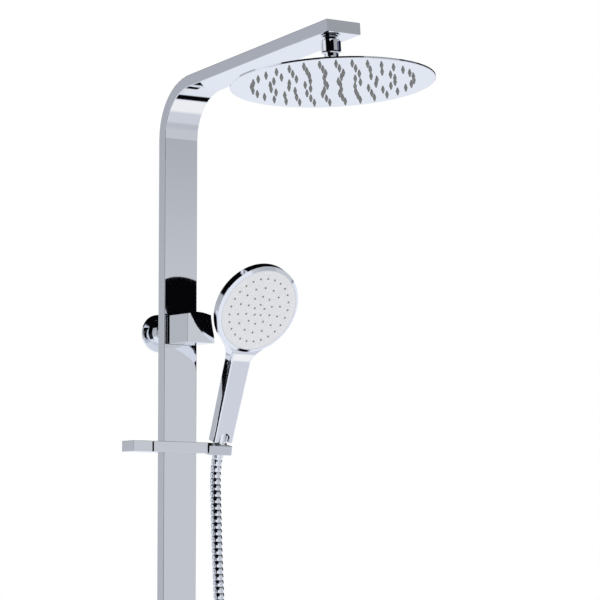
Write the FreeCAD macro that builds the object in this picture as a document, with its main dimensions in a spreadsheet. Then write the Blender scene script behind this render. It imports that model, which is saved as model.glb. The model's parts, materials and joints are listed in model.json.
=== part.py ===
"""Rainfall shower column: bent tube, round overhead, diverter, sliding hand shower and its hose.

Frame: origin at the centre of the upper wall flange, on the wall. X to the right, +Y into the wall, +Z up.
"""
import FreeCAD, Part
import math
import os
import re
from FreeCAD import Placement, Rotation, Vector

# ---------------------------------------------------------------- driving dimensions (mm, degrees)
DRIVING = (
    # column
    ("column_width", 50, "column tube, side to side"),
    ("column_depth", 15, "column tube, front to back"),
    ("tube_wall", 1.5, "sheet thickness of the column tube"),
    ("wall_gap", 40, "wall to the back of the column"),
    ("column_drop", 800, "origin down to the foot of the tube"),
    ("bend_start", 250, "origin up to the start of the bend"),
    ("bend_inner", 60, "radius of the bend's inner face"),
    ("arm_rise", 5, "slope of the arm above level"),
    ("arm_length", 302.5, "straight part of the arm"),
    ("cap_plate", 1.5, "plate of the two end caps"),
    ("feed_radius", 5, "water tubes inside the column"),
    # wall brackets
    ("flange_radius", 24.5, "wall flange"),
    ("flange_depth", 5, "wall flange, wall to the foot of the boss"),
    ("boss_radius", 17.5, "boss on the flange"),
    ("boss_reach", 25, "wall to the front of the boss"),
    ("post_radius", 11, "post between boss and column"),
    ("lower_bracket", 740, "origin down to the lower bracket"),
    ("inlet_radius", 9.3, "bore of the G1/2 inlet thread"),
    ("screw_spacing", 26, "wall screws of the lower bracket"),
    # diverter
    ("handle_width", 41.4, "diverter handle, side to side"),
    ("handle_height", 36.8, "diverter handle, top to bottom"),
    ("handle_depth", 43, "diverter handle, front to back"),
    ("handle_crown", 3, "arch of the handle's top above its corners"),
    ("collar_depth", 4.6, "collar between column and handle"),
    ("scoop_radius", 52, "round scoop in the handle's corner"),
    ("cartridge_radius", 11, "diverter cartridge"),
    # overhead
    ("axis_back", 389.6, "wall to the centre of the overhead's face"),
    ("face_height", 277.4, "origin up to the centre of the overhead's face"),
    ("overhead_radius", 125, "round overhead"),
    ("overhead_rim", 2.4, "thickness of the overhead's edge"),
    ("overhead_crown", 8.5, "thickness of the overhead at its hub"),
    ("ball_height", 22, "overhead's face up to the ball centre"),
    ("ball_radius", 11, "swivel ball"),
    ("sleeve_radius", 12.35, "swivel nut under the arm"),
    ("nozzle_length", 4.8, "silicone nozzle below the face"),
    ("nozzle_radius", 2.4, "silicone nozzle at the face"),
    # slider
    ("slider_height", -150.4, "origin to the slider's centre line"),
    ("slider_width", 83, "slider body, side to side"),
    ("slider_depth", 28.4, "slider body, front to back"),
    ("slider_thick", 14, "slider body, top to bottom"),
    ("slider_front", 57, "wall to the slider's front face"),
    ("button_length", 28.6, "release button"),
    ("button_gap", 2, "gap that the button closes when pressed"),
    # holder and handset
    ("holder_centre", 65, "column's middle to the handset's middle"),
    ("holder_width", 35.3, "handset holder, side to side"),
    ("holder_reach", 16.4, "holder's pivot to its front face"),
    ("holder_thick", 12.4, "handset holder, top to bottom"),
    ("holder_tilt", 10.7, "nose-down tilt of the holder at rest"),
    ("handle_lean", 21, "lean of the handset's handle from upright"),
    ("face_lean", 28, "lean of the handset's face from upright"),
    ("handle_foot_back", 50.8, "wall to the foot of the handset's handle"),
    ("handle_foot_height", -140.5, "origin to the foot of the handset's handle"),
    ("head_back", 139.1, "wall to the centre of the handset's face"),
    ("head_height", 23.8, "origin up to the centre of the handset's face"),
    ("head_radius", 60, "handset head"),
    ("head_rim", 12.5, "thickness of the head at its edge"),
    ("head_crown", 26, "thickness of the head at its middle"),
    ("grip_width", 30, "handset handle at its foot, side to side"),
    ("grip_depth", 16, "handset handle at its foot, front to back"),
    ("grip_corner", 3.6, "rounding along the handle's edges"),
    ("grip_straight", 105, "straight part of the handle above its foot"),
    # hose
    ("hose_radius", 7.25, "metal hose"),
    ("nut_length", 30, "conical hose nut"),
)
sizes_text = {alias: value for alias, value, note in DRIVING}

doc = FreeCAD.newDocument("ShowerColumn")
sheet = doc.addObject("Spreadsheet::Sheet", "Sizes")
for row, (alias, value, note) in enumerate(DRIVING, start=1):
    sheet.set(f"A{row}", note)
    sheet.set(f"B{row}", str(value))
    sheet.setAlias(f"B{row}", alias)
doc.recompute()


def size(alias):
    """A driving dimension as a number."""
    return float(sheet.get(alias))


def bound(expression):
    """The expression with every alias written as a reference to the sheet."""
    return re.sub(r"[a-z]\w*", lambda m: f"Sizes.{m[0]}" if m[0] in sizes_text else m[0], str(expression))


# ---------------------------------------------------------------- small builders
AXIS = {"x": Vector(1, 0, 0), "y": Vector(0, 1, 0), "z": Vector(0, 0, 1), "-y": Vector(0, -1, 0),
        "-x": Vector(-1, 0, 0), "-z": Vector(0, 0, -1)}
UP = Vector(0, 0, 1)
nodes = {}


def turn(axis):
    """The rotation that brings a primitive's own +Z onto an axis."""
    return Rotation(UP, AXIS[axis])


def put(thing, at, axis="z"):
    """Places a primitive's base point at a bound position, standing along an axis."""
    thing.Placement = Placement(Vector(), turn(axis))
    for letter, value in zip("xyz", at):
        thing.setExpression(f"Placement.Base.{letter}", bound(value))
    return thing


def primitive(kind, at, axis="z", **expressions):
    thing = doc.addObject(f"Part::{kind}", kind)
    for name, value in expressions.items():
        thing.setExpression(name, bound(value))
    return put(thing, at, axis)


def box(lengths, centre):
    """A box about its centre."""
    corner = [f"({c}) - ({length}) / 2" for c, length in zip(centre, lengths)]
    return primitive("Box", corner, Length=lengths[0], Width=lengths[1], Height=lengths[2])


def cylinder(radius, height, at, axis="z"):
    return primitive("Cylinder", at, axis, Radius=radius, Height=height)


def cone(radius_low, radius_high, height, at, axis="z"):
    return primitive("Cone", at, axis, Radius1=radius_low, Radius2=radius_high, Height=height)


def sphere(radius, at):
    return primitive("Sphere", at, Radius=radius)


def fuse(*parts):
    thing = doc.addObject("Part::MultiFuse", "Fuse")
    thing.Shapes = list(parts)
    thing.Refine = True
    return thing


def cut(base, *tools):
    thing = doc.addObject("Part::Cut", "Cut")
    thing.Base = base
    thing.Tool = tools[0] if len(tools) == 1 else fuse(*tools)
    return thing


def tube(outer, inner, height, at, axis="z"):
    """A ring: a cylinder with a bore right through."""
    return cut(cylinder(outer, height, at, axis), cylinder(inner, height, at, axis))


def common(*parts):
    thing = doc.addObject("Part::MultiCommon", "Common")
    thing.Shapes = list(parts)
    return thing


def node(label, thing, frame=None):
    """Names a finished sub-part, and moves it into its own frame if it has one."""
    if frame is not None:
        thing.Placement = frame
    thing.Label = label
    nodes[label] = thing
    return thing


def built(label, shape, frame=None):
    """A sub-part whose shape comes from Part's own functions."""
    thing = doc.addObject("Part::Feature", label)
    thing.Shape = shape
    return node(label, thing, frame)


def rounded(thing, radius, wanted):
    """Rounds the edges of a computed object that a test picks out."""
    doc.recompute()
    fillet = doc.addObject("Part::Fillet", "Round")
    fillet.Base = thing
    edges = enumerate(thing.Shape.Edges, start=1)
    fillet.Edges = [(i, radius, radius) for i, edge in edges if wanted(edge)]
    return fillet


def chamfered(thing, width, wanted):
    doc.recompute()
    chamfer = doc.addObject("Part::Chamfer", "Bevel")
    chamfer.Base = thing
    edges = enumerate(thing.Shape.Edges, start=1)
    chamfer.Edges = [(i, width, width) for i, edge in edges if wanted(edge)]
    return chamfer


def along(edge, direction):
    """True for a straight edge that runs along a direction."""
    if not isinstance(edge.Curve, Part.Line):
        return False
    return abs(edge.Curve.Direction.dot(AXIS[direction])) > 0.999


def is_circle(edge, radius):
    return isinstance(edge.Curve, Part.Circle) and abs(edge.Curve.Radius - radius) < 1e-3


def ring_of(count, radius, first):
    """Evenly spaced points on a circle, starting at an angle from +X in degrees."""
    angles = [math.radians(first + 360 * i / count) for i in range(count)]
    return [Vector(radius * math.cos(angle), radius * math.sin(angle), 0) for angle in angles]


# ---------------------------------------------------------------- frames of the tilted groups
def leaning(x, y, z, degrees):
    """A frame whose own Z leans forward from upright by some degrees."""
    return Placement(Vector(x, y, z), Rotation(Vector(1, 0, 0), degrees))


swivel_frame = leaning(0, -size("axis_back"), size("face_height"), -size("arm_rise"))
grip_frame = leaning(size("holder_centre"), -size("handle_foot_back"), size("handle_foot_height"),
                     size("handle_lean"))
# The head's own Z runs backwards out of the face; its own Y runs down the face.
head_frame = Placement(Vector(size("holder_centre"), -size("head_back"), size("head_height")),
                       Rotation(Vector(1, 0, 0), size("face_lean") - 90))
column_middle = "-(wall_gap + column_depth / 2)"
column_front = "-(wall_gap + column_depth)"
bend_centre_y = -(size("wall_gap") + size("column_depth") + size("bend_inner"))
arm_frame = Placement(Vector(0, bend_centre_y, size("bend_start")),
                      Rotation(Vector(1, 0, 0), 90 - size("arm_rise")))


# ---------------------------------------------------------------- column
def column_band(inset):
    """The column's straight run, bend and arm as one bar, smaller all round by an inset."""
    width = size("column_width") - 2 * inset
    depth = size("column_depth") - 2 * inset
    inner = size("bend_inner") + inset
    drop = size("column_drop")
    run = Part.makeBox(width, depth, drop + size("bend_start"),
                       Vector(-width / 2, bend_centre_y + inner, -drop))
    centre = Vector(-width / 2, bend_centre_y, size("bend_start"))
    angle = 90 - size("arm_rise")
    section = Part.makePlane(width, depth, Vector(-width / 2, bend_centre_y + inner, size("bend_start")),
                             UP)
    bend = section.revolve(centre, Vector(1, 0, 0), angle)
    arm = Part.makeBox(width, depth, size("arm_length"), Vector(-width / 2, inner, 0))
    arm.Placement = arm_frame
    return run.fuse([bend, arm]).removeSplitter()


def column_tube():
    outer = column_band(0)
    corners = [edge for edge in outer.Edges
               if edge.Length > size("column_width") + 1 and abs(edge.CenterOfMass.x) > 20]
    outer = outer.makeFillet(0.8, corners)
    shape = outer.cut(column_band(size("tube_wall")))
    middle = bend_centre_y + size("bend_inner") + size("column_depth") / 2
    inlet = Part.makeCylinder(7.2, 10, Vector(0, middle, 0), AXIS["y"])
    cartridge = Part.makeCylinder(7.2, 10, Vector(0, middle, 0), AXIS["-y"])
    lower = [Part.makeCylinder(2.15, 10, Vector(side * 7, middle, -size("lower_bracket")), AXIS["y"])
             for side in (-1, 1)]
    outlet = Part.makeCylinder(7.2, 10, Vector(0, 0, 50), UP)
    outlet.Placement = swivel_frame
    built("column_tube", shape.cut([inlet, cartridge, outlet] + lower))


def end_cap(label, frame, bore=None):
    """A plate over a cut end of the tube, with a plug inside; its own Z points out of the tube."""
    width, depth = size("column_width"), size("column_depth")
    plug_width, plug_depth = width - 2 * size("tube_wall") - 0.4, depth - 2 * size("tube_wall") - 0.4
    plate = Part.makeBox(width, depth, size("cap_plate"), Vector(-width / 2, -depth / 2, 0))
    plate = plate.makeFillet(0.8, [edge for edge in plate.Edges if along(edge, "z")])
    plug = Part.makeBox(plug_width, plug_depth, 6, Vector(-plug_width / 2, -plug_depth / 2, -6))
    shape = plate.fuse(plug).removeSplitter()
    if bore:
        shape = shape.cut(Part.makeCylinder(bore, 20, Vector(0, 0, -10)))
    built(label, shape, frame)


column_tube()
arm_end = arm_frame.multVec(Vector(0, size("bend_inner") + size("column_depth") / 2, size("arm_length")))
end_cap("arm_end_cap", Placement(arm_end, arm_frame.Rotation))
foot = Vector(0, -(size("wall_gap") + size("column_depth") / 2), -size("column_drop"))
end_cap("column_foot_cap", Placement(foot, Rotation(Vector(1, 0, 0), 180)), bore=5.85)


# ---------------------------------------------------------------- wall brackets
grub_line = "-boss_reach / 2 - 3"


def bracket(prefix, height):
    """Flange and boss, the same at both brackets; returns the grub screw that holds the boss."""
    flange = fuse(cylinder("flange_radius", "flange_depth - 1.5", (0, 0, height), "-y"),
                  cone("flange_radius", "boss_radius + 0.3", 1.5, (0, "1.5 - flange_depth", height), "-y"))
    recess = cylinder(18.3, 2.2, (0, 0, height), "-y")
    bore = cylinder("boss_radius - 2", "flange_depth", (0, 0, height), "-y")
    node(f"{prefix}_flange", cut(flange, recess, bore))
    shell = cylinder("boss_radius", "boss_reach - flange_depth", (0, "-flange_depth", height), "-y")
    inside = cylinder("boss_radius - 2", "boss_reach - flange_depth - 2",
                      (0, "-flange_depth", height), "-y")
    hole = cylinder("post_radius + 0.1", "boss_reach", (0, "-flange_depth", height), "-y")
    screw_hole = cylinder(2.1, 5, (0, grub_line, f"{height} - boss_radius - 0.5"))
    front = -size("boss_reach") + 0.1
    node(f"{prefix}_boss", rounded(cut(shell, inside, hole, screw_hole), 0.8,
                                   lambda edge: is_circle(edge, size("boss_radius"))
                                   and edge.CenterOfMass.y < front))
    screw_foot = (0, grub_line, f"{height} - boss_radius + 0.2")
    return cut(cylinder(2, 4, screw_foot), cylinder(1, 2, screw_foot))


node("bracket_grub_screws", fuse(bracket("upper", "0"), bracket("lower", "-lower_bracket")))
inlet = fuse(cylinder("boss_radius - 2.3", "boss_reach - 2.3", (0, 0, 0), "-y"),
             cylinder("post_radius", "wall_gap - 5", (0, -5, 0), "-y"),
             cylinder(7, 4, (0, "-wall_gap", 0), "-y"))
node("water_inlet", cut(inlet, cylinder("inlet_radius", 14, (0, 0, 0), "-y"),
                        cylinder("inlet_radius + 0.8", 2.2, (0, -14, 0), "-y"),
                        cylinder(4.5, 60, (0, 0, 0), "-y"),
                        cylinder(2.1, 5, (0, grub_line, "-boss_radius"))))
node("inlet_washer", tube("inlet_radius - 0.2", 5.5, 2, (0, -14.05, 0), "-y"))
plate_holes = []
for side in (-1, 1):
    hole_at = (f"{side} * screw_spacing / 2", -2, "-lower_bracket")
    plate_holes.append(cylinder(2.5, 2, hole_at, "y"))
    plate_holes.append(cone(4.2, 2.5, 1, hole_at, "y"))
node("lower_wall_plate", cut(cylinder(18, 2, (0, 0, "-lower_bracket"), "-y"), *plate_holes))
post = fuse(cylinder(8.5, 10, (0, -2, "-lower_bracket"), "-y"),
            cylinder("boss_radius - 2.3", "boss_reach - 14.3", (0, -12, "-lower_bracket"), "-y"),
            cylinder("post_radius", "wall_gap - 12", (0, -12, "-lower_bracket"), "-y"))
post_bores = [cylinder(2.02, 16, (f"{side} * 7", "-wall_gap", "-lower_bracket"), "y") for side in (-1, 1)]
post_screw_hole = cylinder(2.1, 5, (0, grub_line, "-lower_bracket - boss_radius"))
node("lower_post", cut(post, post_screw_hole, *post_bores))
fixings = []
for side in (-1, 1):
    fixings.append(cylinder(2, 16, (f"{side} * 7", "-wall_gap - tube_wall", "-lower_bracket"), "y"))
    fixings.append(cylinder(3.4, 2, (f"{side} * 7", "-wall_gap - tube_wall", "-lower_bracket"), "-y"))
node("lower_fixing_screws", fuse(*fixings))

# ---------------------------------------------------------------- water path inside the column
node("diverter_manifold", cut(box((40, 11.4, 40), (0, column_middle, 0)),
                              cylinder(7.1, 3, (0, "-wall_gap - 1.6", 0), "-y"),
                              cylinder(7.1, 3, (0, f"{column_front} + 1.6", 0), "y"),
                              cylinder(3, 12, (0, "-wall_gap - 1.6", 0), "-y"),
                              cylinder(3.5, 50, (0, column_middle, -25)),
                              cylinder("feed_radius + 0.1", 10, (0, column_middle, 12)),
                              cylinder("feed_radius + 0.1", 10, (0, column_middle, -22))))


def feed_tube_upper():
    """Water tube from the manifold up the column, round the bend and along the arm."""
    bend_radius = size("bend_inner") + size("column_depth") / 2
    angle = math.radians(90 - size("arm_rise"))

    def on_bend(part):
        return Vector(0, bend_centre_y + bend_radius * math.cos(angle * part),
                      size("bend_start") + bend_radius * math.sin(angle * part))

    start = Vector(0, bend_centre_y + bend_radius, 12)
    far = arm_frame.multVec(Vector(0, bend_radius, size("arm_length") - 40))
    path = Part.Wire([Part.LineSegment(start, on_bend(0)).toShape(),
                      Part.Arc(on_bend(0), on_bend(0.5), on_bend(1)).toShape(),
                      Part.LineSegment(on_bend(1), far).toShape()])
    outer, inner = [path.makePipeShell([Part.Wire(Part.makeCircle(radius, start, UP))], True, False)
                    for radius in (size("feed_radius"), size("feed_radius") - 1)]
    built("feed_tube_upper", outer.cut(inner))


feed_tube_upper()
node("feed_tube_lower", tube("feed_radius", "feed_radius - 1", "column_drop - 20",
                             (0, column_middle, "8 - column_drop")))
under_arm = swivel_frame.inverse().multVec(arm_frame.multVec(Vector(0, size("bend_inner"), 250))).z
block = Part.makeBox(40, 30, 11.4, Vector(-20, -14, under_arm + 1.8))
channel = under_arm + 7.5
built("arm_outlet_block", block.cut([Part.makeCylinder(7.05, 4.6, Vector(0, 0, under_arm + 1.5)),
                                     Part.makeCylinder(3.5, 7, Vector(0, 0, under_arm + 1.5)),
                                     Part.makeCylinder(3.5, 20, Vector(0, 0, channel), AXIS["y"]),
                                     Part.makeCylinder(5.1, 8, Vector(0, 10, channel), AXIS["y"])]),
      swivel_frame)

# ---------------------------------------------------------------- diverter
collar_box = box(("handle_width - 3.4", "collar_depth - 0.1", "handle_height - 2.8"),
                 (0, f"{column_front} - (collar_depth - 0.1) / 2", 0))
node("diverter_collar", cut(collar_box, cylinder("cartridge_radius + 0.1", 8,
                                                 (0, f"{column_front} + 1", 0), "-y")))
seat = f"{column_front} - 3"
cartridge = fuse(cylinder("cartridge_radius", 25, (0, column_front, 0), "-y"),
                 cylinder(7, 4, (0, f"{column_front} + 4", 0), "-y"))
node("diverter_cartridge", cut(cartridge, cylinder(10.1, 8.4, (0, seat, 0), "-y"),
                               cylinder(4.06, 30, (0, seat, 0), "-y"),
                               cylinder(3, 12, (0, f"{column_front} + 5", 0), "-y")))
ports = [cylinder(1.6, 6, (f"{side} * 4.6", seat, 0), "-y") for side in (-1, 1)]
node("diverter_fixed_disc", cut(cylinder(9.9, 3, (0, f"{seat} - 0.1", 0), "-y"), *ports))
node("diverter_turning_disc", cut(cylinder(9.7, 2.2, (0, f"{seat} - 3.2", 0), "-y"),
                                  cylinder(1.6, 6, (4.6, seat, 0), "-y")))
node("diverter_spindle", fuse(cylinder(9.5, 2, (0, f"{seat} - 5.6", 0), "-y"),
                              cylinder(4, 29, (0, f"{seat} - 5.6", 0), "-y")))
node("cartridge_nut", tube(15, "cartridge_radius + 0.05", 8,
                           (0, f"{column_front} - collar_depth - 0.6", 0), "-y"))
handle_back = f"{column_front} - collar_depth - 0.2"
handle_front = f"{column_front} - collar_depth - handle_depth"
tall_box = box(("handle_width", "handle_depth - 0.2", "handle_height + handle_crown"),
               (0, f"({handle_back} + {handle_front}) / 2", "handle_crown / 2"))
crown_radius = "((handle_width / 2)^2 + handle_crown^2) / (2 * handle_crown)"
crown_centre = f"handle_height / 2 + handle_crown - {crown_radius}"
arched = cylinder(crown_radius, "handle_depth", (0, handle_back, crown_centre), "-y")
brick = rounded(common(tall_box, arched), 0.6, lambda edge: True)
band = "scoop_radius - 7"
dish_radius = 120
lip = cone("scoop_radius", band, 1.2, (34, handle_front, 35.5), "y")
dish = sphere(dish_radius, (34, f"{handle_front} + 1.2 - sqrt({dish_radius}^2 - ({band})^2)", 35.5))
node("diverter_handle", cut(brick, lip, dish, cylinder(16.6, 26, (0, handle_back, 0), "-y"),
                            cylinder(4.05, 34, (0, handle_back, 0), "-y"),
                            cylinder(1.55, 20, (0, f"{handle_front} + 12", "-handle_height / 2 - 1"))))
node("diverter_grub_screw", cylinder(1.5, "handle_height / 2 - 5",
                                     (0, f"{handle_front} + 12", "0.6 - handle_height / 2")))

# ---------------------------------------------------------------- swivel under the arm
collar_foot = under_arm - 3
nut_foot = 37.8
neck_foot = 32.8
spigot = fuse(cone(8.95, 10.5, 3, (0, 0, collar_foot)), cylinder(9.1, 9, (0, 0, collar_foot - 9)),
              cylinder(7, 6, (0, 0, under_arm)))
node("outlet_nipple", cut(spigot, cylinder(4.5, 40, (0, 0, 30))), swivel_frame)
sleeve = chamfered(cylinder("sleeve_radius", collar_foot - 0.1 - nut_foot, (0, 0, nut_foot)), 1.2,
                   lambda edge: is_circle(edge, size("sleeve_radius")))
node("swivel_nut", cut(sleeve, cylinder(9.15, 20, (0, 0, nut_foot + 2)),
                       cylinder(8.95, 20, (0, 0, nut_foot))), swivel_frame)
stem = fuse(cylinder(9.1, 2.6, (0, 0, nut_foot + 2.1)),
            cylinder(8.9, nut_foot + 2.2 - neck_foot, (0, 0, neck_foot)),
            cylinder(6.5, f"{neck_foot} - ball_height", (0, 0, "ball_height")),
            sphere("ball_radius", (0, 0, "ball_height")))
node("ball_stem", cut(stem, cylinder(3.5, 60, (0, 0, 0))), swivel_frame)

# ---------------------------------------------------------------- round overhead
socket_radius = 14.05
OVERHEAD_RINGS = ((4, 11.5), (10, 33.5), (16, 54), (24, 76), (32, 98.5))
overhead_places = [point for count, radius in OVERHEAD_RINGS for point in ring_of(count, radius, 180)]


ball_centre = (0, 0, "ball_height")
ring_zone = common(sphere(socket_radius - 0.1, ball_centre),
                   tube(20, "ball_radius - 5", 4.6, (0, 0, "ball_height - 9")))
node("socket_ring", cut(ring_zone, sphere("ball_radius + 0.05", ball_centre)), swivel_frame)
ring_room = common(sphere(socket_radius, ball_centre), cylinder(20, 14, (0, 0, "ball_height - 14.2")))
socket_nut = chamfered(cylinder(18, 11.5, (0, 0, "overhead_crown + 8.5")), 1.5,
                       lambda edge: is_circle(edge, 18) and edge.CenterOfMass.z > 20)
node("socket_nut", cut(socket_nut, ring_room, sphere("ball_radius + 0.08", ball_centre),
                       cone(9, 11.5, 6, (0, 0, "ball_height + 4"))), swivel_frame)
hub_screws = ring_of(4, 16, 45)
hub_holes = [cylinder(1.65, 6, (p.x, p.y, "overhead_crown - 0.1")) for p in hub_screws]
node("overhead_hub", cut(cylinder(20, 8.4, (0, 0, "overhead_crown")), sphere(socket_radius, ball_centre),
                         cylinder(6, 4, (0, 0, "overhead_crown - 1")), *hub_holes), swivel_frame)
rim_disc = cylinder("overhead_radius", "overhead_rim", (0, 0, 0))
crown_cone = cone("overhead_radius", 42, "overhead_crown - overhead_rim", (0, 0, "overhead_rim"))
disc = rounded(fuse(rim_disc, crown_cone), 0.5,
               lambda edge: is_circle(edge, size("overhead_radius")) and edge.CenterOfMass.z < 1)
shell_holes = [cylinder(1.6, 4, (p.x, p.y, "overhead_crown - 3")) for p in hub_screws]
node("overhead_top_shell", cut(disc, cylinder("overhead_radius - 0.9", 1.25, (0, 0, 0)),
                               cone("overhead_radius - 3", 41, "overhead_crown - 2.6", (0, 0, 1.25)),
                               cylinder(6, 10, (0, 0, 2)), *shell_holes), swivel_frame)
screws = []
for p in hub_screws:
    screws.append(cylinder(1.5, 6.5, (p.x, p.y, "overhead_crown - 1.4")))
    screws.append(cylinder(2.8, 1.3, (p.x, p.y, "overhead_crown - 2.7")))
node("overhead_screws", fuse(*screws), swivel_frame)


def spray_face(prefix, places, radius, thickness, mat_radius, mat_thickness, base, length, frame):
    """A face plate with its holes, and the mat behind it whose nozzles stand out through them."""
    holes = [Part.makeCylinder(base + 0.05, thickness, at) for at in places]
    built(f"{prefix}_face_plate", Part.makeCylinder(radius, thickness).cut(holes), frame)
    lift = Vector(0, 0, thickness + 0.05)
    mat = Part.makeCylinder(mat_radius, mat_thickness, lift)
    plugs = [Part.makeCylinder(base, lift.z + mat_thickness / 2, at) for at in places]
    points = [Part.makeCone(base, 0.35 * base, length, at, Vector(0, 0, -1)) for at in places]
    bores = [Part.makeCylinder(base / 4, length + lift.z + mat_thickness, at - Vector(0, 0, length))
             for at in places]
    built(f"{prefix}_nozzle_mat", mat.fuse(plugs + points).cut(bores), frame)


spray_face("overhead", overhead_places, size("overhead_radius") - 1, 1.2, 104, 1, size("nozzle_radius"),
           size("nozzle_length"), swivel_frame)

# ---------------------------------------------------------------- slider on the column
pivot_y = "(slider_depth / 2 - slider_front)"
split = "(slider_depth - slider_front - 9.6)"
bore_end = 33.2
body = rounded(box(("slider_width", f"slider_front + {split}", "slider_thick"),
                   (0, f"({split} - slider_front) / 2", "slider_height")), 0.5, lambda edge: True)
slot = box(("column_width + 4", 24, 20), (0, "13 - slider_front", "slider_height"))
side_bores = [cylinder(4.05, 12, (bore_end, pivot_y, "slider_height"), "x"),
              cylinder(4.05, 12, (-bore_end, pivot_y, "slider_height"), "-x")]
cover_screws = [(30 * side, f"slider_height + {3.5 * up}") for side in (-1, 1) for up in (-1, 1)]
taps = [cylinder(1.25, 5.5, (x, split, z), "-y") for x, z in cover_screws]
node("slider_body", cut(body, slot, *side_bores, *taps))
cover = rounded(box(("slider_width", 9.5, "slider_thick"), (0, f"{split} + 4.85", "slider_height")), 0.5,
                lambda edge: True)
through = [cylinder(1.35, 12, (x, split, z), "y") for x, z in cover_screws]
sinks = [cylinder(2.6, 6, (x, f"{split} + 5", z), "y") for x, z in cover_screws]
node("slider_back_cover", cut(cover, *through, *sinks))
screws = []
for x, z in cover_screws:
    screws.append(cylinder(1.2, 10, (x, f"{split} - 5", z), "y"))
    screws.append(cylinder(2.5, 2, (x, f"{split} + 5", z), "y"))
node("slider_screws", fuse(*screws))
liner = box(("column_width + 3.8", 17.6, 13.6), (0, "9.9 - slider_front", "slider_height"))
column_room = box(("column_width + 0.2", "column_depth + 0.2", 20), (0, column_middle, "slider_height"))
node("slider_liner", cut(liner, column_room,
                         cylinder(3.6, 8, (-30, pivot_y, "slider_height"), "x")))
node("lock_shoe", cylinder(3.4, 1.7, (-26.85, pivot_y, "slider_height"), "x"))
node("button_spring", tube(3.8, 2.6, 4.8, (-bore_end - 0.1, pivot_y, "slider_height"), "-x"))
button_right = "(-slider_width / 2 - button_gap)"
button = rounded(box(("button_length", "slider_depth", "slider_thick"),
                     (f"{button_right} - button_length / 2", pivot_y, "slider_height")), 0.5,
                 lambda edge: True)
node("release_button", cut(button, cylinder(4.02, 6, (button_right, pivot_y, "slider_height"), "-x")))
node("button_stem", fuse(cylinder(4, 9.4, (-40, pivot_y, "slider_height"), "-x"),
                         cylinder(2.2, 4.8, (-40, pivot_y, "slider_height"), "x")))

# ---------------------------------------------------------------- handset holder
holder_frame = Placement(Vector(0, size("slider_depth") / 2 - size("slider_front"), size("slider_height")),
                         Rotation(Vector(1, 0, 0), size("holder_tilt")))
holder_left = "(slider_width / 2 + 1)"
foot_in_holder = holder_frame.inverse().multiply(grip_frame)


def cone_seat(radius_top, radius_low):
    """A cone about the handset's axis, from just above the holder's top to just below its underside."""
    seat_cone = Part.makeCone(radius_top, radius_low, 18.5, Vector(0, 0, -2), Vector(0, 0, -1))
    seat_cone = seat_cone.fuse(Part.makeCylinder(radius_low, 8, Vector(0, 0, -20.4), UP)).removeSplitter()
    seat_cone.Placement = foot_in_holder
    return seat_cone


def handset_holder():
    width, depth, thick = size("holder_width"), size("slider_depth"), size("holder_thick")
    left = size("slider_width") / 2 + 1
    corner = Vector(left, -size("holder_reach"), -thick / 2)
    shape = Part.makeBox(width, depth, thick, corner)
    shape = shape.makeFillet(0.6, shape.Edges)
    shaft_hole = Part.makeCylinder(4.02, 6, Vector(left - 0.5, 0, 0), AXIS["x"])
    built("holder_block", shape.cut([cone_seat(10.8, 9.8), shaft_hole]), holder_frame)
    slab = Part.makeBox(width, depth, thick - 0.4, corner + Vector(0, 0, 0.2))
    built("holder_cone_liner", cone_seat(10.75, 9.75).cut(cone_seat(9.6, 8.6)).common(slab), holder_frame)


handset_holder()
node("holder_shaft", cut(cylinder(4, f"{holder_left} + 4.8 - {bore_end}", (bore_end + 0.2, 0, 0), "x"),
                         cylinder(1.2, 6, (bore_end, 0, 0), "x")), holder_frame)
node("holder_washer", tube(7, 4.1, 0.8, (f"{holder_left} - 0.9", 0, 0), "x"), holder_frame)

# ---------------------------------------------------------------- handset
HANDSET_RINGS = ((5, 7.9), (10, 19), (14, 31.2), (25, 43.9))
handset_places = [point for count, radius in HANDSET_RINGS for point in ring_of(count, radius, -90)]


def grip_section(along_grip, width, depth, forward):
    """Rounded rectangle across the handle, at a height along it and moved towards its front."""
    corner = size("grip_corner")
    half_x, half_y = width / 2 - corner, depth / 2 - corner
    edges = []
    for first, (sx, sy) in ((0, (1, 1)), (90, (-1, 1)), (180, (-1, -1)), (270, (1, -1))):
        centre = Vector(sx * half_x, sy * half_y - forward, along_grip)
        angles = [math.radians(a) for a in (first, first + 45, first + 90)]
        points = [centre + Vector(corner * math.cos(a), corner * math.sin(a), 0) for a in angles]
        edges.append(Part.Arc(*points).toShape())
    joined = []
    for here, there in zip(edges, edges[1:] + edges[:1]):
        joined.append(here)
        joined.append(Part.LineSegment(here.Vertexes[-1].Point, there.Vertexes[0].Point).toShape())
    return Part.Wire(joined)


# how the handle flares into the head above its straight part: rise, width, depth and shift added
GRIP_FLARE = ((0, 0, 0, 0), (7, 0.4, 0.3, 0.3), (14, 3.4, 2, 1.8), (21, 10.8, 4.5, 4), (28, 24.6, 4.5, 6),
              (37, 32, 2.5, 8))


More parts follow.
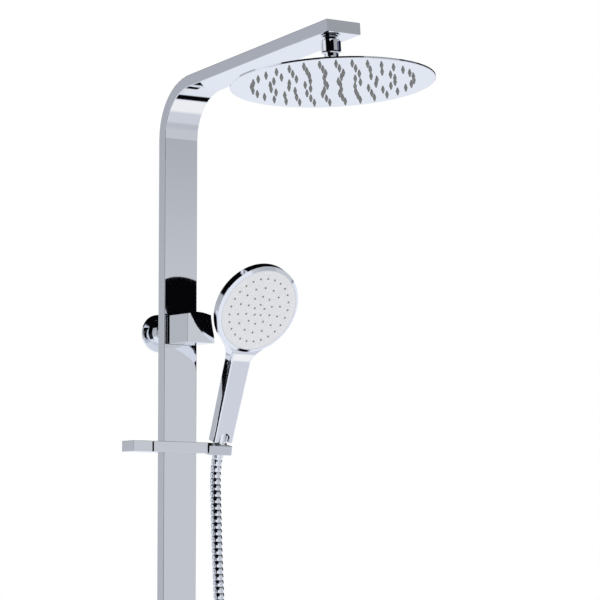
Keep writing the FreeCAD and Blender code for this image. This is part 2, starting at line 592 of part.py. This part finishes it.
def handset_shell():
    """Flat handle that widens into the round head, with a bore, an arched notch and the head's hollow."""
    width, depth = size("grip_width"), size("grip_depth")
    neck = size("grip_straight")
    straight = Part.makeLoft([grip_section(0, width, depth, 0),
                              grip_section(neck, width + 2, depth + 1, 0)], True, True)
    sections = [grip_section(neck + rise, width + 2 + wider, depth + 1 + deeper, forward)
                for rise, wider, deeper, forward in GRIP_FLARE]
    handle = straight.fuse(Part.makeLoft(sections, True, False))
    handle.Placement = grip_frame
    radius, rim, crown = size("head_radius"), size("head_rim"), size("head_crown")
    rise = crown - rim
    dome_radius = (radius ** 2 + rise ** 2) / (2 * rise)

    def dome(inset, floor):
        drum = Part.makeCylinder(radius - inset, crown, Vector(0, 0, floor))
        ball = Part.makeSphere(dome_radius - inset, Vector(0, 0, crown - dome_radius))
        return drum.common(ball)

    head = dome(0, 3)
    head.Placement = head_frame
    hollow = dome(2.5, 0)
    hollow.Placement = head_frame
    bores = [Part.makeCylinder(7.4, 14, Vector(), UP), Part.makeCylinder(5.6, 158, Vector(), UP),
             Part.makeBox(16.3, 7, 4.85, Vector(-8.15, -9, 0)),
             Part.makeCylinder(8.15, 7, Vector(0, -9, 4.85), AXIS["y"])]
    for bore in bores:
        bore.Placement = grip_frame.multiply(bore.Placement)
    face_side = Part.makeBox(200, 200, 60, Vector(-100, -100, -57))
    face_side.Placement = head_frame
    built("handset_shell", handle.cut(face_side).fuse(head).cut([hollow] + bores))


handset_shell()
bevel = cone("head_radius - 4.4", "head_radius - 0.2", 2.4, (0, 0, 0))
ring_body = fuse(bevel, cylinder("head_radius - 0.2", 0.5, (0, 0, 2.4)))
node("handset_trim_ring", cut(ring_body, cylinder("head_radius - 5.1", 3, (0, 0, 0))), head_frame)
spray_face("handset", handset_places, size("head_radius") - 5.2, 2, 50, 1.5, 1.3, 1.3, head_frame)
node("handset_seal", tube("head_radius - 5.5", "head_radius - 7.5", 1.5, (0, 0, 2.1)), head_frame)
node("handset_waterway", tube(5.5, 4, 120, (0, 0, 24.1)), grip_frame)
node("handset_thread_insert", tube(5.5, 3.6, 18.9, (0, 0, 3.05)), grip_frame)
node("hose_washer_top", tube(5.5, 3, 2, (0, 0, 1)), grip_frame)
cone_nut = fuse(cone(8.3, 9.3, 17.5, (0, 0, "10 - nut_length + 0.5")), cone(7.2, 6.1, 16.5, (0, 0, -3)))
node("hose_cone_nut", cut(cone_nut, cylinder(7.4, 16.5, (0, 0, "10 - nut_length")),
                          cylinder(5.6, 20, (0, 0, 0.9)), cylinder(3.2, 8, (0, 0, -5))), grip_frame)

# ---------------------------------------------------------------- hose and its outlet at the foot
foot_z = "-column_drop - cap_plate"
outlet = fuse(cylinder(5.8, 20, (0, column_middle, foot_z)),
              cylinder(11, 8, (0, column_middle, foot_z), "-z"),
              cylinder(9.9, 19.5, (0, column_middle, foot_z), "-z"))
node("hose_outlet", cut(outlet, cylinder(4, 60, (0, column_middle, "-column_drop - 30")),
                        cylinder(5.05, 20, (0, column_middle, "7.5 - column_drop"))))
bottom_nut = chamfered(cylinder(12, 14, (0, column_middle, f"{foot_z} - 9"), "-z"), 1.2,
                       lambda edge: is_circle(edge, 12))
bottom_ferrule = cylinder(8.6, 20, (0, column_middle, f"{foot_z} - 22.9"), "-z")
node("hose_bottom_nut", cut(fuse(bottom_nut, bottom_ferrule),
                            cylinder(10, 13, (0, column_middle, f"{foot_z} - 8.9"), "-z"),
                            cylinder(4.5, 30, (0, column_middle, f"{foot_z} - 20"), "-z")))

# The hose hangs from the nut under the handset, swings out past the column's foot and comes back up
# to the outlet.
HOSE = ((65, -43.5, -159.8), (65, -38.5, -186), (65, -40.5, -222), (65.5, -42, -270), (69, -42.5, -350),
        (76, -43, -470), (86, -44, -610), (97, -46, -750), (109, -48, -880), (120, -49, -990),
        (126, -49, -1080), (109, -49, -1132), (65, -49, -1164), (11, -48.5, -1164), (-33, -48, -1132),
        (-50, -47.5, -1080), (-44, -47.5, -1015), (-25, -47.5, -957), (-6, -47.5, -908), (0, -47.5, -874),
        (0, -47.5, -845.6))


def hose():
    """A tube along straight runs joined by the largest tangent arcs that the runs allow."""
    points = [Vector(*point) for point in HOSE]
    edges = []
    radii = []
    here = points[0]
    for before, corner, after in zip(points, points[1:], points[2:]):
        inward, outward = (corner - before), (after - corner)
        half_turn = inward.getAngle(outward) / 2
        if half_turn < 1e-4:
            continue
        reach = 0.45 * min(inward.Length, outward.Length)
        radii.append(reach / math.tan(half_turn))
        inward.normalize()
        outward.normalize()
        start, end = corner - inward * reach, corner + outward * reach
        bisector = outward - inward
        bisector.normalize()
        middle = corner + bisector * (radii[-1] / math.cos(half_turn) - radii[-1])
        edges.append(Part.LineSegment(here, start).toShape())
        edges.append(Part.Arc(start, middle, end).toShape())
        here = end
    edges.append(Part.LineSegment(here, points[-1]).toShape())
    path = Part.Wire(edges)
    first = points[1] - points[0]
    ring = Part.Wire(Part.makeCircle(size("hose_radius"), points[0], first))
    solid = path.makePipeShell([ring], True, False)
    expected = math.pi * size("hose_radius") ** 2 * path.Length
    print("hose length", round(path.Length, 1), "volume ratio", round(solid.Volume / expected, 5))
    print("hose radii", [round(radius) for radius in radii])
    built("hose", solid)


hose()

# ---------------------------------------------------------------- checks and export
doc.recompute()
failed = [thing.Name for thing in doc.Objects if {"Invalid", "Error"} & set(thing.State)]
bad = [label for label, thing in nodes.items() if thing.Shape.isNull() or not thing.Shape.isValid()]
bad += [label for label, thing in nodes.items() if not thing.Shape.Solids]
if failed or bad:
    raise RuntimeError(f"objects that failed: {failed}; shapes that are not sound: {bad}")
os.makedirs("parts", exist_ok=True)
for label, thing in nodes.items():
    thing.Shape.exportStep(f"parts/{label}.step")
    extent = thing.Shape.optimalBoundingBox(False, False)
    print(f"{label:24s} solids {len(thing.Shape.Solids):2d}  X {extent.XMin:8.1f} {extent.XMax:8.1f}"
          f"  Y {extent.YMin:8.1f} {extent.YMax:8.1f}  Z {extent.ZMin:8.1f} {extent.ZMax:8.1f}")
print(len(nodes), "nodes")
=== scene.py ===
"""Rainfall shower column: looks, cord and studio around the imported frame. Metres, the CAD's own frame."""
import json
import math

import bpy
import bmesh
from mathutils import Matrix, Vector


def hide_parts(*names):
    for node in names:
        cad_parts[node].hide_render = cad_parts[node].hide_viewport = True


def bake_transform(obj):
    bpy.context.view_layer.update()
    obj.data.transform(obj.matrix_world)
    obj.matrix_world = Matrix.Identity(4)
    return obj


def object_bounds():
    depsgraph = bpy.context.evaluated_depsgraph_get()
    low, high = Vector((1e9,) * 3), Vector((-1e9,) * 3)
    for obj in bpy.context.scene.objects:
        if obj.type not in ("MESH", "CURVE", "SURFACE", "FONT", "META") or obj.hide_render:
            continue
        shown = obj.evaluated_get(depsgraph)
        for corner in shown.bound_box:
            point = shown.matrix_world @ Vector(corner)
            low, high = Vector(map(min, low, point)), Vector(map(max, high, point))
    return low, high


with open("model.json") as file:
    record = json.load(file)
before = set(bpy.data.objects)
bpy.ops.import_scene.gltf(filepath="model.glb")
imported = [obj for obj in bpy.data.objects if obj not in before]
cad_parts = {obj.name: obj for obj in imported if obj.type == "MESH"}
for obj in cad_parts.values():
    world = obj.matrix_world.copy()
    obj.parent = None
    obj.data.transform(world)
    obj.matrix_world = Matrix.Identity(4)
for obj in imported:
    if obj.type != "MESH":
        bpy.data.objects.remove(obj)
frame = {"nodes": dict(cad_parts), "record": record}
cad_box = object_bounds()
scene = bpy.context.scene
NODES = frame["nodes"]


# ---------------------------------------------------------------- camera
VIEW_AZIMUTH = math.radians(35.436)
VIEW_PITCH = math.radians(5.423)
VIEW_PLACE = (-2.1153, -3.2936, -0.3269)
LENS_MM = 180
SENSOR_MM = 36
FAR_CLIP = 100
camera = bpy.data.objects.new("camera", bpy.data.cameras.new("camera"))
camera.data.lens = LENS_MM
camera.data.sensor_width = SENSOR_MM
camera.data.clip_end = FAR_CLIP
camera.location = VIEW_PLACE
camera.rotation_euler = (math.pi / 2 + VIEW_PITCH, 0, -VIEW_AZIMUTH)
scene.collection.objects.link(camera)
scene.camera = camera
scene.view_settings.view_transform = "Standard"
scene.view_settings.look = "None"


# ---------------------------------------------------------------- materials
HAZE_SCALE = 14
RIPPLE_SCALE = 9
RIPPLE_DETAIL = 1.0
RIPPLE_STRENGTH = 0.3


def new_material(name, colour, metallic, roughness):
    """A plain material, with its node tree and its shader."""
    material = bpy.data.materials.new(name)
    material.use_nodes = True
    shader = material.node_tree.nodes["Principled BSDF"]
    shader.inputs["Base Color"].default_value = (*colour, 1)
    shader.inputs["Metallic"].default_value = metallic
    shader.inputs["Roughness"].default_value = roughness
    return material, material.node_tree, shader


def noise(tree, scale, detail=3.0):
    """Noise laid out in the object's own space."""
    place = tree.nodes.new("ShaderNodeTexCoord")
    texture = tree.nodes.new("ShaderNodeTexNoise")
    texture.inputs["Scale"].default_value = scale
    texture.inputs["Detail"].default_value = detail
    tree.links.new(place.outputs["Object"], texture.inputs["Vector"])
    return texture.outputs["Fac"]


def spread(tree, source, low, high):
    """Maps a 0 to 1 texture onto a range."""
    node = tree.nodes.new("ShaderNodeMapRange")
    node.inputs["To Min"].default_value = low
    node.inputs["To Max"].default_value = high
    tree.links.new(source, node.inputs["Value"])
    return node.outputs["Result"]


def bump(tree, shader, height, distance, strength=1.0):
    """Relief from a 0 to 1 texture, as deep as the distance in metres."""
    node = tree.nodes.new("ShaderNodeBump")
    node.inputs["Strength"].default_value = strength
    node.inputs["Distance"].default_value = distance
    tree.links.new(height, node.inputs["Height"])
    tree.links.new(node.outputs["Normal"], shader.inputs["Normal"])


def polished(name, colour, low, high, ripple=0.0):
    """Chrome plate: a mirror with faint wiping haze, and on plastic a slight ripple."""
    material, tree, shader = new_material(name, colour, 1.0, low)
    haze = noise(tree, HAZE_SCALE)
    tree.links.new(spread(tree, haze, low, high), shader.inputs["Roughness"])
    if ripple:
        bump(tree, shader, noise(tree, RIPPLE_SCALE, RIPPLE_DETAIL), ripple, RIPPLE_STRENGTH)
    return material


def grained(name, colour, metallic, low, high, scale, depth):
    """A surface with a fine cast, moulded or machined grain."""
    material, tree, shader = new_material(name, colour, metallic, low)
    grain = noise(tree, scale)
    tree.links.new(spread(tree, grain, low, high), shader.inputs["Roughness"])
    bump(tree, shader, grain, depth)
    return material


# name, colour, then for polished the two ends of its roughness and a ripple's depth, and for grained its
# metallic value, the two ends of its roughness, the grain's scale and its depth
MATERIALS = {
    "chrome_steel": polished("chrome_on_steel", (0.84, 0.85, 0.875), 0.03, 0.06),
    "chrome_brass": polished("chrome_on_brass", (0.87, 0.88, 0.90), 0.03, 0.07),
    "chrome_plastic": polished("chrome_on_plastic", (0.86, 0.87, 0.90), 0.03, 0.07, 0.0001),
    "brass": grained("machined_brass", (0.72, 0.52, 0.22), 1.0, 0.25, 0.4, 300, 0.00005),
    "steel": grained("satin_steel", (0.55, 0.55, 0.57), 1.0, 0.25, 0.4, 400, 0.00004),
    "ceramic": grained("ceramic", (0.86, 0.85, 0.82), 0.0, 0.1, 0.2, 200, 0.00002),
    "rubber": grained("black_rubber", (0.02, 0.02, 0.02), 0.0, 0.6, 0.8, 500, 0.00008),
    "silicone": grained("grey_silicone", (0.27, 0.27, 0.26), 0.0, 0.35, 0.5, 350, 0.00004),
    "white_plastic": grained("white_plastic", (0.8, 0.8, 0.78), 0.0, 0.35, 0.5, 350, 0.00004),
    "pale_face": grained("pale_face", (0.84, 0.85, 0.875), 0.0, 0.25, 0.35, 300, 0.00003),
    "metal_hose": polished("metal_hose", (0.84, 0.85, 0.88), 0.06, 0.12),
}
NODE_SLOT = {part["node"]: part["material_slot"] for part in frame["record"]["subparts"]}
for name, thing in NODES.items():
    thing.data.materials.clear()
    thing.data.materials.append(MATERIALS[NODE_SLOT[name]])


# ---------------------------------------------------------------- hose
HOSE_DIAMETER = 0.0145
RIB_PITCH = 0.0083
RIB_DEPTH = 0.0009
RIB_FULLNESS = 0.6
STEPS_PER_RIB = 8
STEPS_PER_ROUTE_POINT = 24
HOSE_SIDES = 28
HOSE_ROUTE = ((0.065, -0.0512, -0.1400), (0.065, -0.0438, -0.1587), (0.065, -0.0385, -0.186),
              (0.065, -0.0405, -0.222), (0.0655, -0.042, -0.270), (0.069, -0.0425, -0.350),
              (0.076, -0.043, -0.470), (0.086, -0.044, -0.610), (0.097, -0.046, -0.750),
              (0.109, -0.048, -0.880), (0.120, -0.049, -0.990), (0.126, -0.049, -1.080),
              (0.109, -0.049, -1.132), (0.065, -0.049, -1.164), (0.011, -0.0485, -1.164),
              (-0.033, -0.048, -1.132), (-0.050, -0.0475, -1.080), (-0.044, -0.0475, -1.015),
              (-0.025, -0.0475, -0.957), (-0.006, -0.0475, -0.908), (0, -0.0475, -0.874),
              (0, -0.0475, -0.8456))


def spline_points(route, resolution):
    """Points along the route's NURBS curve, as the curve itself gives them."""
    curve = bpy.data.curves.new("route", "CURVE")
    curve.dimensions = "3D"
    curve.resolution_u = resolution
    spline = curve.splines.new("NURBS")
    spline.points.add(len(route) - 1)
    for point, place in zip(spline.points, route):
        point.co = (*place, 1)
    spline.order_u = 3
    spline.use_endpoint_u = True
    holder = bpy.data.objects.new("route", curve)
    scene.collection.objects.link(holder)
    line = bpy.data.meshes.new_from_object(holder)
    points = [vertex.co.copy() for vertex in line.vertices]
    bpy.data.objects.remove(holder)
    return points


def evenly(points, step):
    """The same line with its points a fixed step apart."""
    spaced = [points[0]]
    left = step
    for here, there in zip(points, points[1:]):
        stretch = (there - here).length
        while stretch >= left:
            here = here + (there - here) * (left / stretch)
            spaced.append(here)
            stretch = (there - here).length
            left = step
        left -= stretch
    spaced.append(points[-1])
    return spaced


def tube_along(name, points, radius_at, sides):
    """A closed tube round a line; its radius depends on the distance along the line."""
    mesh = bmesh.new()
    rings = []
    side = Vector((0, 1, 0))
    along = 0.0
    for i, centre in enumerate(points):
        ahead = (points[min(i + 1, len(points) - 1)] - points[max(i - 1, 0)]).normalized()
        side = (side - ahead * side.dot(ahead)).normalized()
        other = ahead.cross(side)
        if i:
            along += (centre - points[i - 1]).length
        radius = radius_at(along)
        turns = [2 * math.pi * k / sides for k in range(sides)]
        rings.append([mesh.verts.new(centre + (side * math.cos(t) + other * math.sin(t)) * radius)
                      for t in turns])
    for low, high in zip(rings, rings[1:]):
        for k in range(sides):
            mesh.faces.new((low[k], low[(k + 1) % sides], high[(k + 1) % sides], high[k]))
    mesh.faces.new(list(reversed(rings[0])))
    mesh.faces.new(rings[-1])
    data = bpy.data.meshes.new(name)
    mesh.to_mesh(data)
    mesh.free()
    for face in data.polygons:
        face.use_smooth = True
    thing = bpy.data.objects.new(name, data)
    scene.collection.objects.link(thing)
    return thing


def rib_radius(along):
    """Rounded ribs with a narrow groove between them."""
    wave = abs(math.sin(math.pi * along / RIB_PITCH))
    return HOSE_DIAMETER / 2 - RIB_DEPTH * (1 - wave ** RIB_FULLNESS)


hose_line = evenly(spline_points(HOSE_ROUTE, STEPS_PER_ROUTE_POINT), RIB_PITCH / STEPS_PER_RIB)
hose = tube_along("hose_ribbed", hose_line, rib_radius, HOSE_SIDES)
hose.data.materials.append(MATERIALS["metal_hose"])
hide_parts("hose")
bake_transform(hose)


# ---------------------------------------------------------------- studio
SHELL_RADIUS = 30
SHELL_CENTRE = (0, -0.15, -0.1)
FLOOR_HALF_WIDTH = 30
FLOOR_DROP = 0.1
FLOOR_LIGHT = (0.86, 0.90, 0.98)
GREY_FRONT = (0.62, 0.64, 0.68)
GREY_BACK = (0.50, 0.52, 0.56)
BLACK = (0.002, 0.002, 0.003)
# What the chrome reflects, painted on a far shell that only reflections see. Each patch is a range of
# azimuth (from -Y towards +X), a range of elevation and a softness, all in degrees, and a colour. Later
# patches lie on top, and what no patch covers has the floor's light.
PATCHES = ((-400, 400, 15, 400, 2.0, BLACK),
           (73, 150, 0, 400, 1.0, BLACK),
           (-95, -12, -6, 400, 2.0, BLACK),
           (-112, -48, -36, 0, 3.0, (0.015, 0.016, 0.02)),
           (8, 73, -26, 14.5, 1.5, GREY_FRONT),
           (8, 73, -24, -12, 3.0, (0.56, 0.58, 0.64)),
           (0, 44, 7.6, 26, 2.5, (0.46, 0.48, 0.52)),
           (0, 44, 15, 26, 3.0, (0.37, 0.39, 0.42)),
           (-162, -132, -16, 22, 1.5, GREY_BACK),
           (-162, -132, 7, 22, 3.0, (0.45, 0.47, 0.52)),
           (12, 75, -46, -24, 4.0, (0.69, 0.72, 0.79)),
           (50, 92, -62, -44, 4.0, (1.0, 1.0, 1.0)),
           (98, 120, -62, -48, 2.5, BLACK),
           (52, 72, 18, 27, 3.0, (0.26, 0.32, 0.60)))


# the Mix node's sockets for colours: its factor, the colour underneath, the colour on top, and the result
MIX_INPUTS = (0, 6, 7)
MIX_OUTPUT = 2


def shell_colour(tree):
    """The patches as a colour, from the direction in which the shell is seen from its centre."""
    def maths(operation, *values):
        node = tree.nodes.new("ShaderNodeMath")
        node.operation = operation
        for socket, value in zip(node.inputs, values):
            if isinstance(value, (int, float)):
                socket.default_value = value
            else:
                tree.links.new(value, socket)
        return node.outputs[0]

    def above(value, edge, soft):
        node = tree.nodes.new("ShaderNodeMapRange")
        node.interpolation_type = "SMOOTHSTEP"
        node.inputs["From Min"].default_value = edge - soft
        node.inputs["From Max"].default_value = edge + soft
        tree.links.new(value, node.inputs["Value"])
        return node.outputs["Result"]

    place = tree.nodes.new("ShaderNodeTexCoord")
    unit = tree.nodes.new("ShaderNodeVectorMath")
    unit.operation = "NORMALIZE"
    tree.links.new(place.outputs["Object"], unit.inputs[0])
    parts = tree.nodes.new("ShaderNodeSeparateXYZ")
    tree.links.new(unit.outputs["Vector"], parts.inputs[0])
    ahead = maths("MULTIPLY", parts.outputs["Y"], -1.0)
    azimuth = maths("DEGREES", maths("ARCTAN2", parts.outputs["X"], ahead))
    elevation = maths("DEGREES", maths("ARCSINE", parts.outputs["Z"]))
    colour = None
    for low, high, bottom, top, soft, paint in PATCHES:
        inside = maths("MULTIPLY", above(azimuth, low, soft),
                       maths("SUBTRACT", 1.0, above(azimuth, high, soft)))
        height = maths("MULTIPLY", above(elevation, bottom, soft),
                       maths("SUBTRACT", 1.0, above(elevation, top, soft)))
        mix = tree.nodes.new("ShaderNodeMix")
        mix.data_type = "RGBA"
        factor, under, over = (mix.inputs[k] for k in MIX_INPUTS)
        tree.links.new(maths("MULTIPLY", inside, height), factor)
        under.default_value = (*FLOOR_LIGHT, 1)
        if colour:
            tree.links.new(colour, under)
        over.default_value = (*paint, 1)
        colour = mix.outputs[MIX_OUTPUT]
    return colour


def reflected_shell():
    """The painted shell, which gives light to reflections and to nothing else."""
    mesh = bpy.data.meshes.new("reflected_shell")
    ball = bmesh.new()
    bmesh.ops.create_uvsphere(ball, u_segments=48, v_segments=24, radius=SHELL_RADIUS)
    ball.to_mesh(mesh)
    ball.free()
    thing = bpy.data.objects.new("reflected_shell", mesh)
    thing.location = SHELL_CENTRE
    material = bpy.data.materials.new("reflected_shell")
    material.use_nodes = True
    tree = material.node_tree
    tree.nodes.clear()
    out = tree.nodes.new("ShaderNodeOutputMaterial")
    emission = tree.nodes.new("ShaderNodeEmission")
    tree.links.new(shell_colour(tree), emission.inputs["Color"])
    tree.links.new(emission.outputs[0], out.inputs[0])
    mesh.materials.append(material)
    thing.visible_camera = False
    thing.visible_diffuse = False
    thing.visible_shadow = False
    scene.collection.objects.link(thing)


def floor():
    """A wide pale floor below the part, which reflections don't see."""
    mesh = bpy.data.meshes.new("floor")
    signs = ((-1, -1), (1, -1), (1, 1), (-1, 1))
    corners = [(x * FLOOR_HALF_WIDTH, y * FLOOR_HALF_WIDTH, 0) for x, y in signs]
    mesh.from_pydata(corners, [], [(0, 1, 2, 3)])
    thing = bpy.data.objects.new("floor", mesh)
    thing.location = (0, 0, cad_box[0].z - FLOOR_DROP)
    thing.visible_glossy = False
    mesh.materials.append(new_material("floor_paint", (0.9, 0.9, 0.9), 0.0, 0.6)[0])
    scene.collection.objects.link(thing)


world = bpy.data.worlds.new("studio")
scene.world = world
world.use_nodes = True
world.node_tree.nodes["Background"].inputs["Color"].default_value = (1, 1, 1, 1)
world.node_tree.nodes["Background"].inputs["Strength"].default_value = 1.0
floor()
reflected_shell()
